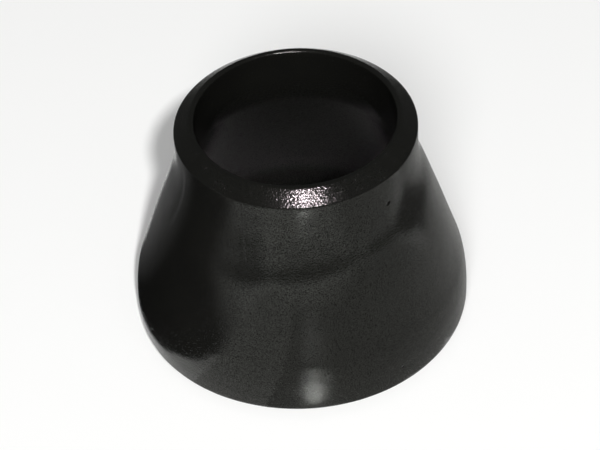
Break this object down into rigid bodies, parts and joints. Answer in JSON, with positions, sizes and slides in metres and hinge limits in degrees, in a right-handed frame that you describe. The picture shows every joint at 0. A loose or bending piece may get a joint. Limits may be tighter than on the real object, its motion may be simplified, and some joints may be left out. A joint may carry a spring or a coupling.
{
  "type": "eccentric butt weld pipe reducer",
  "caption": "Eccentric steel pipe reducer with bevelled ends for butt welding, steep on one side and slanting down to the smaller pipe on the other.",
  "frame": {"origin": "centre of the large end's face", "axes": "+Z along the pipe axis from the large end to the small end; the body's steep side is on -Y, and the small end's axis lies 20 mm towards -Y from the origin"},
  "size_m": [0.1683, 0.1682, 0.14],
  "materials": {
    "black_paint": "satin"
  },
  "bodies": {
    "root": {"reducer_body": "black_paint"}
  },
  "joints": []
}
